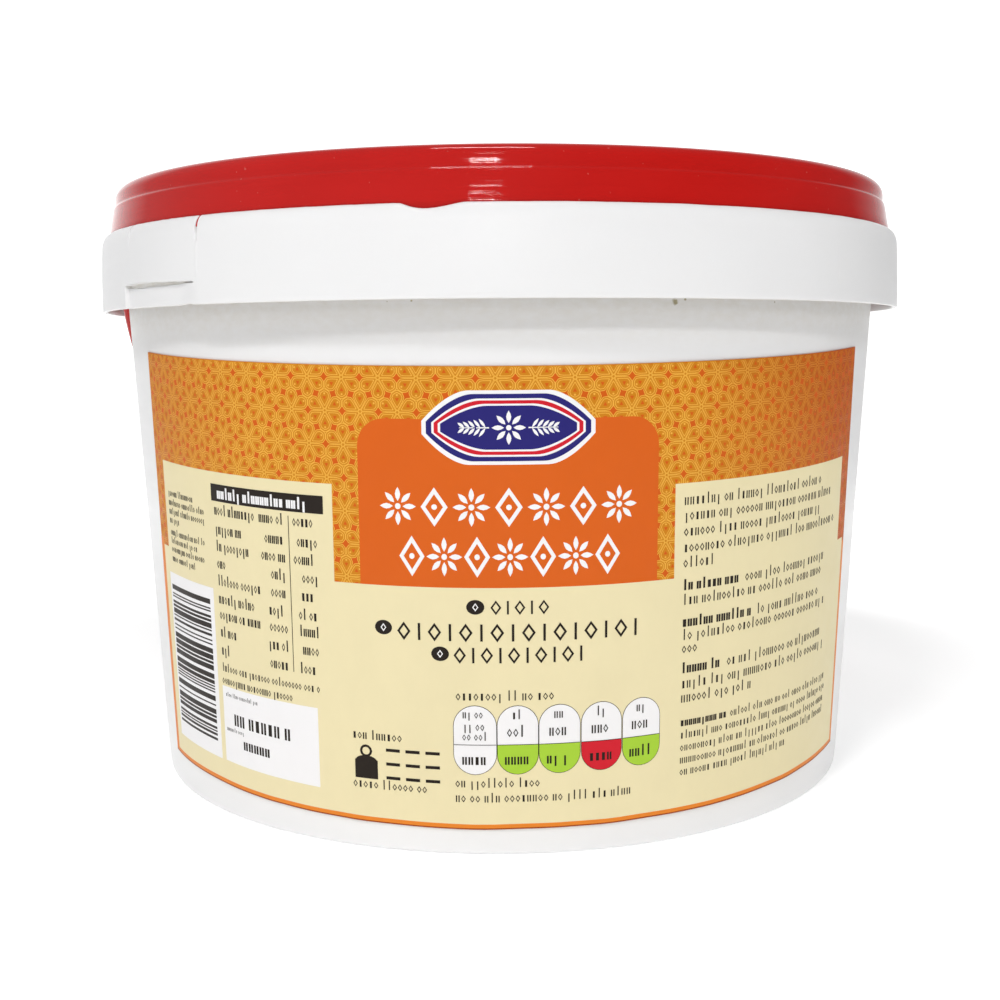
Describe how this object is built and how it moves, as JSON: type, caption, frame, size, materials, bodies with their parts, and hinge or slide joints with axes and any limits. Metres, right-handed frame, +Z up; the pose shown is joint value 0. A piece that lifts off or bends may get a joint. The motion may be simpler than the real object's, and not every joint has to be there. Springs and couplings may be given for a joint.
{
  "type": "food pail of jaggery",
  "caption": "Shut white plastic pail of jaggery with a tamper-evident collar, a red push-on lid, a wrap-round front label and a strap handle hanging behind.",
  "frame": {"origin": "on the pail's axis, at the height of the foot ring it stands on", "axes": "+Z up along the pail's axis, -Y towards the middle of the label, +X to the right of someone who reads the label"},
  "size_m": [0.215, 0.214, 0.1529],
  "materials": {
    "white_plastic": "smooth moulded polypropylene, satin",
    "red_plastic": "glossy moulded polypropylene",
    "label_paper": "printed paper label, slightly glossy",
    "handle_plastic": "moulded polypropylene, satin"
  },
  "bodies": {
    "root": {"pail": "white_plastic", "lid": "red_plastic", "label": "label_paper", "handle": "handle_plastic"}
  },
  "joints": []
}
